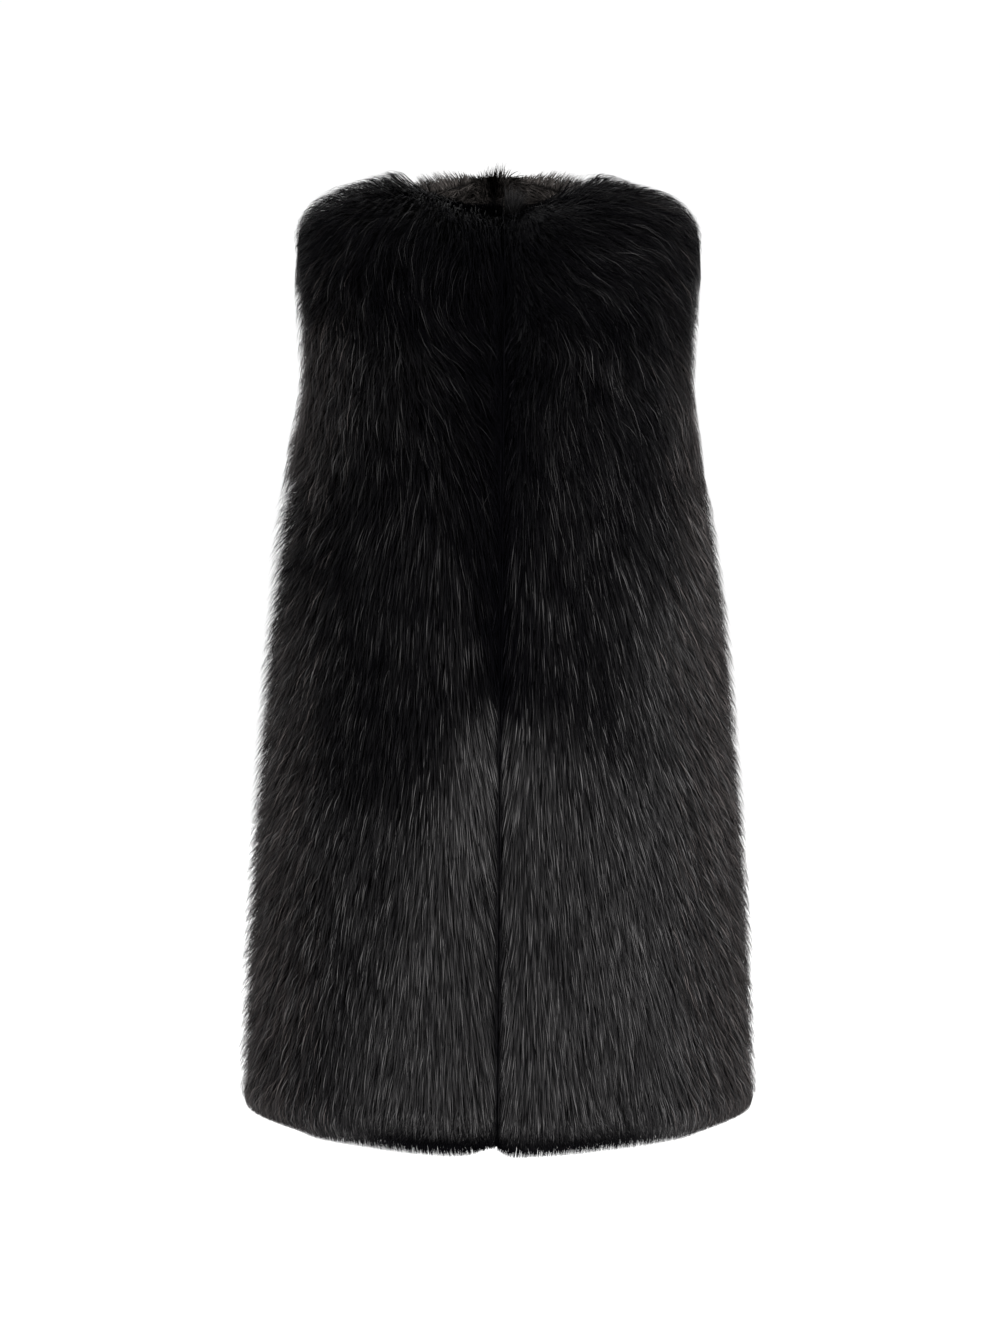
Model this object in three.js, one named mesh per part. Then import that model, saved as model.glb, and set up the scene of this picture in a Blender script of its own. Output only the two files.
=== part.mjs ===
// A long sleeveless gilet in long-pile faux fur, hollow and upright as it hangs on a wearer.
//
// Units are millimetres. +Z is up and the front faces -Y, so the wearer's left side is at +X.
// The origin is midway between the neck ends of the two shoulder seams, where the wearer's
// shoulders hold the garment. Angles go round the body from the front centre towards +X.
//
// Every panel is a wall: its inner face is the cloth and its outer face is the top of the pile.
// The fur hangs past the cloth at a free edge, so the wall is rounded there, from the top of the
// pile down to the tips of the hair.

import * as THREE from 'three';

// Driving sizes
const PILE_DEPTH = 22; // from the cloth's inner face to the top of the lying pile
const EDGE_DEPTH = 3; // what is left of the wall at a free edge
const SEAM_GAP = 0.3; // between two panels at a seam
const HEM_ROUND = 30; // how far in from each free edge the pile rounds over
const NECK_ROUND = 20;
const ARMHOLE_ROUND = 22;
const FRONT_ROUND = 8;
const FRONT_EDGE_SHARE = 0.6; // of the pile's depth, where the two fronts meet
const CORNER_RADIUS = 15; // the lower front corners, in the plane of the panel

// The front edges meet on a line that leans a little, from the hem to the neck.
const FRONT_LINE_AT_HEM = -2.5;
const FRONT_LINE_AT_NECK = 4;

// Rings round the garment, on its inner face, from the hem to the neck.
// along: distance up the side line. side, front, back: the ring's height at those places.
// width: half the ring's width. frontDepth, backDepth: its reach to the front and the back.
// squareness: 2 is an ellipse, and more is squarer.
const RINGS = [
  { along: 0, side: -820, front: -838, back: -832, width: 210, frontDepth: 160, backDepth: 152, squareness: 2.15 },
  { along: 180, side: -640, front: -655, back: -650, width: 203, frontDepth: 157, backDepth: 143, squareness: 2.15 },
  { along: 330, side: -490, front: -502, back: -498, width: 191, frontDepth: 151, backDepth: 132, squareness: 2.15 },
  { along: 430, side: -390, front: -402, back: -396, width: 182, frontDepth: 146, backDepth: 122, squareness: 2.2 },
  { along: 530, side: -290, front: -305, back: -296, width: 168, frontDepth: 141, backDepth: 114, squareness: 2.2 },
  { along: 610, side: -210, front: -228, back: -213, width: 161, frontDepth: 132, backDepth: 111, squareness: 2.3 },
  { along: 700, side: -120, front: -148, back: -118, width: 165, frontDepth: 117, backDepth: 109, squareness: 2.5 },
  { along: 775, side: -45, front: -87, back: -47, width: 166, frontDepth: 104, backDepth: 101, squareness: 2.5 },
  { along: 804, side: -22, front: -66, back: -22, width: 149, frontDepth: 95, backDepth: 92, squareness: 2.35 },
  { along: 838, side: -11, front: -46, back: -2, width: 119, frontDepth: 84, backDepth: 81, squareness: 2.2 },
  { along: 893, side: 6, front: -18, back: 30, width: 68, frontDepth: 70, backDepth: 64, squareness: 2 },
];
const UNDERARM = 610;
const SHOULDER_TIP = 775;
const NECK = RINGS[RINGS.length - 1].along;

// Half the armhole's width, in front of the side line and behind it.
const ARMHOLE_FRONT = 50;
const ARMHOLE_BACK = 46;

// Soft folds that run up from the hem: troughs are negative. Degrees, then millimetres.
const FOLDS = [
  { angle: 90, spread: 9, depth: -5, top: 600, name: 'left side seam' },
  { angle: -90, spread: 9, depth: -5, top: 600, name: 'right side seam' },
  { angle: 58, spread: 14, depth: 5, top: 430, name: 'left front ridge' },
  { angle: 34, spread: 11, depth: -4, top: 330, name: 'left front trough' },
  { angle: -62, spread: 13, depth: 4, top: 380, name: 'right front ridge' },
  { angle: -40, spread: 12, depth: -5, top: 470, name: 'right front trough' },
  { angle: 128, spread: 14, depth: 6, top: 400, name: 'left back ridge' },
  { angle: 152, spread: 12, depth: -6, top: 480, name: 'left back trough' },
  { angle: 184, spread: 13, depth: 4, top: 300, name: 'centre back ridge' },
  { angle: 212, spread: 13, depth: -5, top: 420, name: 'right back trough' },
  { angle: 238, spread: 15, depth: 6, top: 360, name: 'right back ridge' },
];

// The fur strip that turns in at the back of the neck
const FACING_HEIGHT = 52;
const FACING_BELOW_EDGE = 6;
const FACING_DEPTH = 9;
const FACING_EDGE_DEPTH = 2;
const FACING_ROUND = 12;
const FACING_END = 98; // degrees from the front centre, just behind the shoulder seams

// How finely the walls are divided
const FRONT_COLUMNS = 14;
const BACK_COLUMNS = 28;
const SKIRT_ROWS = 19;
const ARMHOLE_ROWS = 12;
const YOKE_ROWS = 9;
const FACING_COLUMNS = 24;
const FACING_ROWS = 5;

const RIGHT_ANGLE = Math.PI / 2;
const { clamp, degToRad, lerp } = THREE.MathUtils;

// One column of the ring table at a distance up the side line, as a smooth curve through its rows.
function ringValue(column, along) {
  const last = RINGS.length - 2;
  let k = 0;
  while (k < last && along > RINGS[k + 1].along) k += 1;
  const [a, b] = [RINGS[k], RINGS[k + 1]];
  const before = RINGS[Math.max(k - 1, 0)];
  const after = RINGS[Math.min(k + 2, RINGS.length - 1)];
  const span = b.along - a.along;
  const u = (along - a.along) / span;
  const slopeA = (b[column] - before[column]) / (b.along - before.along);
  const slopeB = (after[column] - a[column]) / (after.along - a.along);
  const u2 = u * u;
  const u3 = u2 * u;
  return (2 * u3 - 3 * u2 + 1) * a[column] + (u3 - 2 * u2 + u) * span * slopeA
    + (3 * u2 - 2 * u3) * b[column] + (u3 - u2) * span * slopeB;
}

// How far the folds push the ring out at an angle. Each fold is deepest at the hem.
function foldDepth(angle, along) {
  let sum = 0;
  for (const fold of FOLDS) {
    const turn = angle - degToRad(fold.angle);
    const away = Math.atan2(Math.sin(turn), Math.cos(turn)) / degToRad(fold.spread);
    const fade = THREE.MathUtils.smoothstep(fold.top - along, 0, fold.top);
    sum += fold.depth * fade * Math.exp(-away * away);
  }
  return sum;
}

// A point on the garment's inner face.
function innerPoint(angle, along) {
  const across = Math.sin(angle);
  const forward = Math.cos(angle);
  const isFront = forward > 0;
  const depth = ringValue(isFront ? 'frontDepth' : 'backDepth', along);
  const power = ringValue('squareness', along);
  const reach = (Math.abs(across) / ringValue('width', along)) ** power + (Math.abs(forward) / depth) ** power;
  const radius = reach ** (-1 / power) + foldDepth(angle, along);
  const side = ringValue('side', along);
  const middle = ringValue(isFront ? 'front' : 'back', along);
  return new THREE.Vector3(radius * across, -radius * forward, lerp(side, middle, forward * forward));
}

// The direction straight out of the garment at a point of its inner face.
function outward(angle, along) {
  const turn = 0.01;
  const step = 1;
  const round = innerPoint(angle + turn, along).sub(innerPoint(angle - turn, along));
  const up = innerPoint(angle, along + step).sub(innerPoint(angle, along - step));
  return round.cross(up).normalize();
}

// The share of the pile's depth at a distance from a free edge: a quarter round.
function rounded(distance, radius) {
  const left = 1 - clamp(distance / radius, 0, 1);
  return Math.sqrt(1 - left * left);
}

// Half the armhole's width at a height: it is an ellipse on the unrolled side.
function armholeHalfWidth(along, halfWidth) {
  const middle = (UNDERARM + SHOULDER_TIP) / 2;
  const half = (SHOULDER_TIP - UNDERARM) / 2;
  const away = (along - middle) / half;
  return Math.abs(away) < 1 ? halfWidth * Math.sqrt(1 - away * away) : 0;
}

// The distance from a point on the unrolled side to that ellipse.
function armholeDistance(fromSide, along, halfWidth) {
  const halfHeight = (SHOULDER_TIP - UNDERARM) / 2;
  const up = along - (UNDERARM + SHOULDER_TIP) / 2;
  const scaled = Math.hypot(fromSide / halfWidth, up / halfHeight);
  const slope = Math.hypot(fromSide / halfWidth ** 2, up / halfHeight ** 2);
  return slope > 0 ? scaled * (scaled - 1) / slope : -halfWidth;
}

// The depth of the wall at a point of the inner face.
function wallDepth(angle, along, fromFrontEdge) {
  const turn = Math.abs(Math.atan2(Math.sin(angle), Math.cos(angle)));
  const fromSide = Math.abs(RIGHT_ANGLE - turn) * ringValue('width', along);
  const armholeWidth = turn < RIGHT_ANGLE ? ARMHOLE_FRONT : ARMHOLE_BACK;
  const share = rounded(along, HEM_ROUND) * rounded(NECK - along, NECK_ROUND)
    * rounded(armholeDistance(fromSide, along, armholeWidth), ARMHOLE_ROUND)
    * lerp(FRONT_EDGE_SHARE, 1, rounded(fromFrontEdge, FRONT_ROUND));
  return EDGE_DEPTH + (PILE_DEPTH - EDGE_DEPTH) * share;
}

// Values from start to end, closer together at whichever end is round.
function spaced(start, end, steps, roundStart, roundEnd) {
  return Array.from({ length: steps + 1 }, (_, i) => {
    const u = i / steps;
    const eased = roundStart && roundEnd ? (1 - Math.cos(Math.PI * u)) / 2
      : roundStart ? 1 - Math.cos(RIGHT_ANGLE * u)
        : roundEnd ? Math.sin(RIGHT_ANGLE * u) : u;
    return lerp(start, end, (u + 2 * eased) / 3);
  });
}

// The heights of a panel's rows, from the hem to the neck. The armhole's rows follow its curve.
function panelRows() {
  const middle = (UNDERARM + SHOULDER_TIP) / 2;
  const half = (SHOULDER_TIP - UNDERARM) / 2;
  const armhole = Array.from({ length: ARMHOLE_ROWS }, (_, i) =>
    middle - half * Math.cos(Math.PI * (i + 1) / ARMHOLE_ROWS));
  const skirt = spaced(0, UNDERARM, SKIRT_ROWS, true, true);
  const yoke = spaced(SHOULDER_TIP, NECK, YOKE_ROWS, false, true).slice(1);
  return [...skirt, ...armhole, ...yoke];
}

// A closed wall over a net of points. place(column, row) gives the inner and the outer point.
function wallGeometry(columns, rows, place) {
  const positions = [];
  const index = [];
  for (let row = 0; row <= rows; row++) {
    for (let column = 0; column <= columns; column++) {
      const { inner, outer } = place(column, row);
      positions.push(...inner.toArray(), ...outer.toArray());
    }
  }
  const inner = (column, row) => 2 * (row * (columns + 1) + column);
  const outer = (column, row) => inner(column, row) + 1;
  const quad = (a, b, c, d) => index.push(a, b, c, a, c, d);
  for (let row = 0; row < rows; row++) {
    for (let column = 0; column < columns; column++) {
      quad(outer(column, row), outer(column + 1, row), outer(column + 1, row + 1), outer(column, row + 1));
      quad(inner(column, row), inner(column, row + 1), inner(column + 1, row + 1), inner(column + 1, row));
    }
  }
  for (let row = 0; row < rows; row++) {
    quad(inner(0, row), outer(0, row), outer(0, row + 1), inner(0, row + 1));
    quad(outer(columns, row), inner(columns, row), inner(columns, row + 1), outer(columns, row + 1));
  }
  for (let column = 0; column < columns; column++) {
    quad(outer(column, 0), inner(column, 0), inner(column + 1, 0), outer(column + 1, 0));
    quad(inner(column, rows), outer(column, rows), outer(column + 1, rows), inner(column + 1, rows));
  }
  const geometry = new THREE.BufferGeometry();
  geometry.setAttribute('position', new THREE.Float32BufferAttribute(positions, 3));
  geometry.setIndex(index);
  geometry.computeVertexNormals();
  return geometry;
}

// Where the front edge of a front panel is at a height, with its round lower corner.
function frontEdge(along, sign) {
  const line = lerp(FRONT_LINE_AT_HEM, FRONT_LINE_AT_NECK, along / NECK);
  const corner = CORNER_RADIUS * (1 - rounded(along, CORNER_RADIUS));
  return line + sign * (SEAM_GAP / 2 + corner);
}

// A front panel: sign is 1 for the wearer's left and -1 for the right.
function frontPanel(sign) {
  const rows = panelRows();
  const shares = spaced(0, 1, FRONT_COLUMNS, true, true);
  return wallGeometry(FRONT_COLUMNS, rows.length - 1, (column, row) => {
    const along = rows[row];
    const edge = frontEdge(along, sign);
    const start = Math.asin(edge / ringValue('frontDepth', along));
    const end = sign * (RIGHT_ANGLE - armholeHalfWidth(along, ARMHOLE_FRONT) / ringValue('width', along));
    const share = sign > 0 ? shares[column] : 1 - shares[column];
    const angle = lerp(start, end, share);
    const inner = innerPoint(angle, along);
    const fromEdge = Math.abs(inner.x - edge);
    const outer = inner.clone().addScaledVector(outward(angle, along), wallDepth(angle, along, fromEdge));
    const shift = -SEAM_GAP / 2;
    return { inner: inner.setY(inner.y + shift), outer: outer.setY(outer.y + shift) };
  });
}

// The back panel, in one piece from side seam to side seam.
function backPanel() {
  const rows = panelRows();
  const shares = spaced(0, 1, BACK_COLUMNS, true, true);
  return wallGeometry(BACK_COLUMNS, rows.length - 1, (column, row) => {
    const along = rows[row];
    const cut = armholeHalfWidth(along, ARMHOLE_BACK) / ringValue('width', along);
    const angle = lerp(RIGHT_ANGLE + cut, 3 * RIGHT_ANGLE - cut, shares[column]);
    const inner = innerPoint(angle, along);
    const outer = inner.clone().addScaledVector(outward(angle, along), wallDepth(angle, along, Infinity));
    const shift = SEAM_GAP / 2;
    return { inner: inner.setY(inner.y + shift), outer: outer.setY(outer.y + shift) };
  });
}

// The fur strip inside the back of the neck. It lies on the back panel's inner face.
function neckFacing() {
  const rows = spaced(NECK - FACING_BELOW_EDGE - FACING_HEIGHT, NECK - FACING_BELOW_EDGE, FACING_ROWS, true, true);
  const start = degToRad(FACING_END);
  const end = 2 * Math.PI - start;
  const columns = spaced(start, end, FACING_COLUMNS, true, true);
  return wallGeometry(FACING_COLUMNS, FACING_ROWS, (column, row) => {
    const [angle, along] = [columns[column], rows[row]];
    const fromEnd = Math.min(angle - start, end - angle) * ringValue('width', along);
    const fromEdge = Math.min(along - rows[0], rows[FACING_ROWS] - along);
    const share = rounded(fromEdge, FACING_ROUND) * rounded(fromEnd, FACING_ROUND);
    const depth = lerp(FACING_EDGE_DEPTH, FACING_DEPTH, share);
    const out = outward(angle, along);
    const onPanel = innerPoint(angle, along).addScaledVector(out, -SEAM_GAP);
    onPanel.y += SEAM_GAP / 2;
    return { inner: onPanel.clone().addScaledVector(out, -depth), outer: onPanel };
  });
}

function fur(color, roughness) {
  return new THREE.MeshStandardMaterial({ color, roughness, metalness: 0 });
}

function piece(name, geometry, material) {
  const mesh = new THREE.Mesh(geometry, material);
  mesh.name = name;
  return mesh;
}

const gilet = new THREE.Group();
gilet.add(piece('front_left', frontPanel(1), fur(0x17171a, 0.55)));
gilet.add(piece('front_right', frontPanel(-1), fur(0x17171a, 0.55)));
gilet.add(piece('back', backPanel(), fur(0x17171a, 0.55)));
gilet.add(piece('back_neck_facing', neckFacing(), fur(0x24231f, 0.6)));

export default gilet;
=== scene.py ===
"""A long sleeveless gilet in black long-pile faux fur, made as pelts with their hair combed in."""

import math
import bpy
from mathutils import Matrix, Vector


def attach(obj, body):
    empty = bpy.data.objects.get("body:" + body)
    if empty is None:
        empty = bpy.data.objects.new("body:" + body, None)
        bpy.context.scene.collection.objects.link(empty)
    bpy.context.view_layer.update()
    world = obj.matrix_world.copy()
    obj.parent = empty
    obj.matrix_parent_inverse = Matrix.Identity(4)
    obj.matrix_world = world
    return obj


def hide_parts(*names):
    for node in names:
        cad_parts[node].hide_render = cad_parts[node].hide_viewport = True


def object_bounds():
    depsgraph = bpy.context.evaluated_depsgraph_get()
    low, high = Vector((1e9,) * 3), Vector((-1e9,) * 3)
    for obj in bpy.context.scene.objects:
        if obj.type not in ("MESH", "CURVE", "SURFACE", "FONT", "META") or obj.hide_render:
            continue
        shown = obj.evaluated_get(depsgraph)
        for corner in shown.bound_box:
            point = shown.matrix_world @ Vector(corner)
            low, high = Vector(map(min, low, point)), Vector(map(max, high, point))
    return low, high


bl_info = {
    "name": "Long Faux-Fur Gilet",
    "version": (1, 0, 0),
    "blender": (4, 5, 0),
    "location": "3D View > Sidebar > Gilet",
    "description": "Makes the pelts, the pile and the studio of a long faux-fur gilet",
    "category": "Object",
}

from collections import namedtuple

import bmesh
import bpy
import numpy as np
from mathutils import kdtree

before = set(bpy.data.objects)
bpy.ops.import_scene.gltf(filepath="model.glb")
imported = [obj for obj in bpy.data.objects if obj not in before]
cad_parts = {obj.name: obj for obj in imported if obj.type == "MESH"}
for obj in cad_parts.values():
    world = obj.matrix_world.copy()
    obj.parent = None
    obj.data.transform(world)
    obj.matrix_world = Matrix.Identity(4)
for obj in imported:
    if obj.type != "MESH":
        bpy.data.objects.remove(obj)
CAD_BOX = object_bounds()

MM = 0.001  # the form is worked out in millimetres, and the meshes are in metres

# The garment's form: rings round its inner face, from the hem to the neck.
# along is the distance up the side line. side, front and back are the ring's heights there.
# width is half the ring's width, and the depths are its reach to the front and the back.
# squareness is the power of the ring's rounded-square curve, where 2 is an ellipse.
Ring = namedtuple("Ring", "along side front back width front_depth back_depth squareness")
RINGS = (
    Ring(0, -820, -838, -832, 210, 160, 152, 2.15),
    Ring(180, -640, -655, -650, 203, 157, 143, 2.15),
    Ring(330, -490, -502, -498, 191, 151, 132, 2.15),
    Ring(430, -390, -402, -396, 182, 146, 122, 2.2),
    Ring(530, -290, -305, -296, 168, 141, 114, 2.2),
    Ring(610, -210, -228, -213, 161, 132, 111, 2.3),
    Ring(700, -120, -148, -118, 165, 117, 109, 2.5),
    Ring(775, -45, -87, -47, 166, 104, 101, 2.5),
    Ring(804, -22, -66, -22, 149, 95, 92, 2.35),
    Ring(838, -11, -46, -2, 119, 84, 81, 2.2),
    Ring(893, 6, -18, 30, 68, 70, 64, 2),
)
UNDERARM = 610
SHOULDER_TIP = 775
NECK = RINGS[-1].along
ARMHOLE_FRONT = 50  # half the armhole's width, in front of the side line
ARMHOLE_BACK = 46

# Soft folds that run up from the hem: angle and spread in degrees, depth and top in millimetres.
Fold = namedtuple("Fold", "angle spread depth top")
FOLDS = (
    Fold(90, 9, -5, 600),
    Fold(-90, 9, -5, 600),
    Fold(58, 14, 5, 430),
    Fold(34, 11, -4, 330),
    Fold(-62, 13, 4, 380),
    Fold(-40, 12, -5, 470),
    Fold(128, 14, 6, 400),
    Fold(152, 12, -6, 480),
    Fold(184, 13, 4, 300),
    Fold(212, 13, -5, 420),
    Fold(238, 15, 6, 360),
)

# The room that the pile has over the cloth, and how it rounds over at each free edge.
PILE_DEPTH = 22
EDGE_DEPTH = 3
HEM_ROUND = 30
NECK_ROUND = 20
ARMHOLE_ROUND = 22
ARMHOLE_LEAST = 4  # the pile keeps the depth that it has this far from the armhole
FRONT_ROUND = 8
FRONT_EDGE_SHARE = 0.6
CORNER_RADIUS = 5
FRONT_LINE_AT_HEM = -2.5
FRONT_LINE_AT_NECK = 4
SEAM_GAP = 0.3

# The cloth takes this share of the pile's room that is over THIN_PILE deep.
CLOTH_SHARE = 0.88
THIN_PILE = 12

# How far the cloth stops short of the fur's own edge.
HEM_OVERHANG = 8
NECK_OVERHANG = 7
ARMHOLE_OVERHANG = 5
HEM_TIPS = 3.5  # how far the hair's tips hang below the hem line
HEM_SHARE = 0.04  # the lowest part of the cloth, where the hair is thicker
ARMHOLE_SHARES = (0.66, 0.89)  # the part of the cloth's height that the armholes take

# The fur strip inside the back of the neck.
FACING_HEIGHT = 52
FACING_BELOW_EDGE = 6
FACING_DEPTH = 9
FACING_END = 98  # in degrees from the front centre
FACING_HAIRS = 10500
FACING_EDGE_HAIRS = 1500
FACING_LENGTH = 30
FACING_WIDTH = 0.9
FACING_SEED = 53
NECK_DARK = (0.001, 0.0009, 0.0008)
NECK_PALE = (0.180, 0.161, 0.151)

# sign is 1 for the wearer's left front, -1 for the right one and 0 for the back.
# columns divide the cloth. under and guard count its short and its long hairs.
Panel = namedtuple("Panel", "name sign columns under guard seed")
PANELS = (
    Panel("front_left", 1, 24, 45000, 28000, 11),
    Panel("front_right", -1, 24, 45000, 28000, 23),
    Panel("back", 0, 48, 52000, 26000, 37),
)
CLOTH_ROWS = 72
GUARD_JOINTS = 4
UNDER_JOINTS = 3
HAIRS_IN_LOCK = 10
HAIRS_FOR_ONE_STANDING = 10
PALE_BEND = 1.7  # above 1 it leaves fewer of the hairs pale
# The share of the pile's depth that the long and the short hairs' tips reach.
GUARD_LIFT = (0.72, 1.14)
UNDER_LIFT = (0.30, 1.0)
PAINTED_SHEEN_V_POINT = -430  # the height of the painted sheen's upturned V on the front, in a charcoal tone

# Each sheet's cut: its greatest width and its length laid flat, and its area in square metres.
Cut = namedtuple("Cut", "flat area")

# The soft light beside the camera: where it stands in metres, its width and its power in watts.
KEY_PLACE = (1.9, -2.2, 0.9)
KEY_WIDTH = 0.6
KEY_POWER = 30

RIGHT_ANGLE = math.pi / 2


class PileSettings(bpy.types.PropertyGroup):
    """The fur's lengths, thickness and colours."""

    guard_length: bpy.props.FloatProperty(
        name="Guard hair", description="Length of the long hairs", default=0.050, unit="LENGTH"
    )
    under_length: bpy.props.FloatProperty(
        name="Under hair", description="Length of the short hairs", default=0.034, unit="LENGTH"
    )
    guard_width: bpy.props.FloatProperty(
        name="Guard width", description="Width of a long hair", default=0.00058, unit="LENGTH"
    )
    under_width: bpy.props.FloatProperty(
        name="Under width", description="Width of a short hair", default=0.0009, unit="LENGTH"
    )
    gather: bpy.props.FloatProperty(
        name="Gather", description="How far the tips gather into locks on the chest",
        default=0.55, min=0, max=1, subtype="FACTOR",
    )
    black: bpy.props.FloatVectorProperty(
        name="Black", description="The darkest hair", default=(0.0006, 0.0006, 0.0013),
        size=3, subtype="COLOR",
    )
    # Hair reaches the charcoal and the warm colour partly by its own random paleness, partly by
    # painted sheen, painted rim light and painted glints.
    charcoal: bpy.props.FloatVectorProperty(
        name="Charcoal", description="The palest hair", default=(0.184, 0.179, 0.180),
        size=3, subtype="COLOR",
    )
    warm: bpy.props.FloatVectorProperty(
        name="Warm charcoal", description="The palest hair at the sides",
        default=(0.204, 0.179, 0.173), size=3, subtype="COLOR",
    )


class ClothSettings(bpy.types.PropertyGroup):
    """The cloth that the hair grows from."""

    thickness: bpy.props.FloatProperty(
        name="Thickness", description="Thickness of the backing", default=0.0016, unit="LENGTH"
    )
    backing: bpy.props.FloatVectorProperty(
        name="Backing", description="Colour between the hairs", default=(0.0008, 0.0008, 0.0010),
        size=3, subtype="COLOR",
    )
    lining: bpy.props.FloatVectorProperty(
        name="Inside", description="Colour of the inner face", default=(0.005, 0.005, 0.006),
        size=3, subtype="COLOR",
    )


class StudioSettings(bpy.types.PropertyGroup):
    """The camera, the floor and the light."""

    distance: bpy.props.FloatProperty(
        name="Distance", description="From the camera to the side seams", default=3.0, unit="LENGTH"
    )
    frame_height: bpy.props.FloatProperty(
        name="Frame height", description="What the picture's height takes in", default=1.2006,
        unit="LENGTH",
    )
    camera_height: bpy.props.FloatProperty(
        name="Camera height", description="Below the neck when negative", default=-0.422,
        unit="LENGTH",
    )
    surroundings: bpy.props.FloatProperty(
        name="Surroundings", description="How bright the white surroundings are", default=1.02, min=0
    )
    floor_drop: bpy.props.FloatProperty(
        name="Floor drop", description="From the hem down to the floor", default=0.38, unit="LENGTH"
    )


SETTINGS = (PileSettings, ClothSettings, StudioSettings)


def ring_row(along):
    """Every column of the ring table but the first, smooth through its rows."""
    table = np.array(RINGS, float)
    stops = table[:, 0]
    last = len(RINGS) - 1
    k = np.clip(np.searchsorted(stops, along) - 1, 0, last - 1)
    before = np.maximum(k - 1, 0)
    after = np.minimum(k + 2, last)
    span = (stops[k + 1] - stops[k])[..., None]
    u = (along - stops[k])[..., None] / span
    start = table[k, 1:]
    end = table[k + 1, 1:]
    slope_start = (end - table[before, 1:]) / (stops[k + 1] - stops[before])[..., None]
    slope_end = (table[after, 1:] - start) / (stops[after] - stops[k])[..., None]
    values = (
        (2 * u**3 - 3 * u**2 + 1) * start
        + (u**3 - 2 * u**2 + u) * span * slope_start
        + (3 * u**2 - 2 * u**3) * end
        + (u**3 - u**2) * span * slope_end
    )
    return np.moveaxis(values, -1, 0)


def smooth_step(value, low, high):
    """0 below low, 1 above high and an even rise between them."""
    share = np.clip((value - low) / (high - low), 0, 1)
    return share * share * (3 - 2 * share)


def bump(value, middle, width, power=2):
    """1 at the middle, and a smooth fall to 0 on both sides of it."""
    return np.exp(-(((value - middle) / width) ** power))


def to_side(angle, low, high):
    """0 at the front and the back, 1 at the sides, and a rise between two sines of the angle."""
    return smooth_step(np.abs(np.sin(angle)), low, high)


def fold_depth(angle, along):
    """How far the folds push a ring out."""
    total = np.zeros(np.broadcast(angle, along).shape)
    for fold in FOLDS:
        turn = angle - math.radians(fold.angle)
        away = np.arctan2(np.sin(turn), np.cos(turn)) / math.radians(fold.spread)
        fade = smooth_step(fold.top - along, 0, fold.top)
        total += fold.depth * fade * np.exp(-away * away)
    return total


def inner_point(angle, along):
    """Points on the cloth's inner face."""
    side, front, back, width, front_depth, back_depth, power = ring_row(along)
    across = np.sin(angle)
    forward = np.cos(angle)
    depth = np.where(forward > 0, front_depth, back_depth)
    reach = (np.abs(across) / width) ** power + (np.abs(forward) / depth) ** power
    radius = reach ** (-1 / power) + fold_depth(angle, along)
    middle = np.where(forward > 0, front, back)
    height = side + (middle - side) * forward * forward
    return np.stack([radius * across, -radius * forward, height], -1)


def unit(vectors):
    """The vectors at length 1."""
    return vectors / np.maximum(np.linalg.norm(vectors, axis=-1, keepdims=True), 1e-9)


def surface(angle, along):
    """The inner face's point, and how it moves with the angle and with the distance up."""
    turn = 0.01
    step = 1.0
    round_way = (inner_point(angle + turn, along) - inner_point(angle - turn, along)) / (2 * turn)
    up_way = (inner_point(angle, along + step) - inner_point(angle, along - step)) / (2 * step)
    return inner_point(angle, along), round_way, up_way


def rounded(distance, radius):
    """The share of the pile's depth at a distance from a free edge: a quarter round."""
    left = 1 - np.clip(distance / radius, 0, 1)
    return np.sqrt(1 - left * left)


def armhole_half_width(along, half_width, margin):
    """Half the hole's width at a height. It is an ellipse on the unrolled side."""
    middle = (UNDERARM + SHOULDER_TIP) / 2
    half = (SHOULDER_TIP - UNDERARM) / 2 + margin
    away = np.clip((along - middle) / half, -1, 1)
    return (half_width + margin) * np.sqrt(1 - away * away)


def folded_angle(angle):
    """The angle from the front centre, 0 to a half turn on either side."""
    return np.abs(np.arctan2(np.sin(angle), np.cos(angle)))


def from_side_line(angle, along):
    """The distance round the body from the side line, which is negative behind it."""
    return (RIGHT_ANGLE - folded_angle(angle)) * ring_row(along)[3]


def from_armhole(angle, along):
    """The distance to the armhole's edge on the unrolled side, which is negative in the hole."""
    from_side = from_side_line(angle, along)
    half_width = np.where(from_side > 0, ARMHOLE_FRONT, ARMHOLE_BACK)
    half_height = (SHOULDER_TIP - UNDERARM) / 2
    up = along - (UNDERARM + SHOULDER_TIP) / 2
    scaled = np.hypot(from_side / half_width, up / half_height)
    slope = np.hypot(from_side / half_width**2, up / half_height**2)
    return scaled * (scaled - 1) / np.maximum(slope, 1e-9)


def front_line(along):
    """Where the two fronts meet, across the body."""
    return FRONT_LINE_AT_HEM + (FRONT_LINE_AT_NECK - FRONT_LINE_AT_HEM) * along / NECK


def from_front_line(panel, points, along):
    """The distance across from the line where the fronts meet. The back has no such edge."""
    return np.abs(points[..., 0] - front_line(along)) if panel.sign else np.inf


def wall_depth(angle, along, from_front):
    """The room from the inner face to the top of the pile."""
    hole = rounded(np.maximum(from_armhole(angle, along), ARMHOLE_LEAST), ARMHOLE_ROUND)
    edge = FRONT_EDGE_SHARE + (1 - FRONT_EDGE_SHARE) * rounded(from_front, FRONT_ROUND)
    share = rounded(along, HEM_ROUND) * rounded(NECK - along, NECK_ROUND) * hole * edge
    return EDGE_DEPTH + (PILE_DEPTH - EDGE_DEPTH) * share


def cloth_rise(angle, along, from_front):
    """How far the cloth stands off the inner face. It comes back to it at every free edge."""
    deep = np.maximum(wall_depth(angle, along, from_front) - THIN_PILE, 0)
    return CLOTH_SHARE * deep * smooth_step(NECK - along, 5, 60)


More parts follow.
